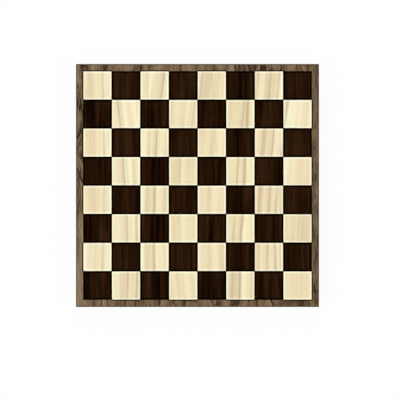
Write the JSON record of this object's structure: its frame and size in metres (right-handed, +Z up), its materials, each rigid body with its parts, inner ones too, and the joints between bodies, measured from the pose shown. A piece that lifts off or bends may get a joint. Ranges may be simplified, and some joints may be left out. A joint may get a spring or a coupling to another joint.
{
  "type": "magnetic chess board",
  "caption": "Flat wooden chess board with inlaid light and dark squares, a narrow one-piece border and a steel sheet under the squares that magnetic chessmen hold to.",
  "frame": {"origin": "middle of the footprint, on the plane of the feet's undersides", "axes": "+X along the ranks from file a to file h, +Y along the files from rank 1 to rank 8, +Z up out of the playing surface"},
  "size_m": [0.255, 0.255, 0.015],
  "materials": {
    "border_wood": "grey-brown walnut, fine dark streaks, satin lacquer",
    "dark_wood": "near-black brown striped wood, satin lacquer",
    "light_wood": "cream maple with soft tan and grey streaks, satin lacquer",
    "edge_wood": "dark-stained walnut edge veneer, satin lacquer",
    "backing_wood": "plain walnut backing veneer, thin lacquer",
    "core_wood": "fibreboard",
    "steel": "cold-rolled sheet",
    "screw_steel": "zinc plated",
    "foot_rubber": "matt black moulded rubber"
  },
  "bodies": {
    "root": {"border_frame": "border_wood", "dark_sheet": "dark_wood", "light_square_b1": "light_wood", "light_square_d1": "light_wood", "light_square_f1": "light_wood", "light_square_h1": "light_wood", "light_square_a2": "light_wood", "light_square_c2": "light_wood", "light_square_e2": "light_wood", "light_square_g2": "light_wood", "light_square_b3": "light_wood", "light_square_d3": "light_wood", "light_square_f3": "light_wood", "light_square_h3": "light_wood", "light_square_a4": "light_wood", "light_square_c4": "light_wood", "light_square_e4": "light_wood", "light_square_g4": "light_wood", "light_square_b5": "light_wood", "light_square_d5": "light_wood", "light_square_f5": "light_wood", "light_square_h5": "light_wood", "light_square_a6": "light_wood", "light_square_c6": "light_wood", "light_square_e6": "light_wood", "light_square_g6": "light_wood", "light_square_b7": "light_wood", "light_square_d7": "light_wood", "light_square_f7": "light_wood", "light_square_h7": "light_wood", "light_square_a8": "light_wood", "light_square_c8": "light_wood", "light_square_e8": "light_wood", "light_square_g8": "light_wood", "steel_sheet": "steel", "core_board": "core_wood", "backing_veneer": "backing_wood", "edge_band_left": "edge_wood", "edge_band_right": "edge_wood", "edge_band_front": "edge_wood", "edge_band_back": "edge_wood", "rubber_foot_front_left": "foot_rubber", "rubber_foot_front_right": "foot_rubber", "rubber_foot_back_left": "foot_rubber", "rubber_foot_back_right": "foot_rubber", "foot_screw_front_left": "screw_steel", "foot_screw_front_right": "screw_steel", "foot_screw_back_left": "screw_steel", "foot_screw_back_right": "screw_steel"}
  },
  "joints": []
}
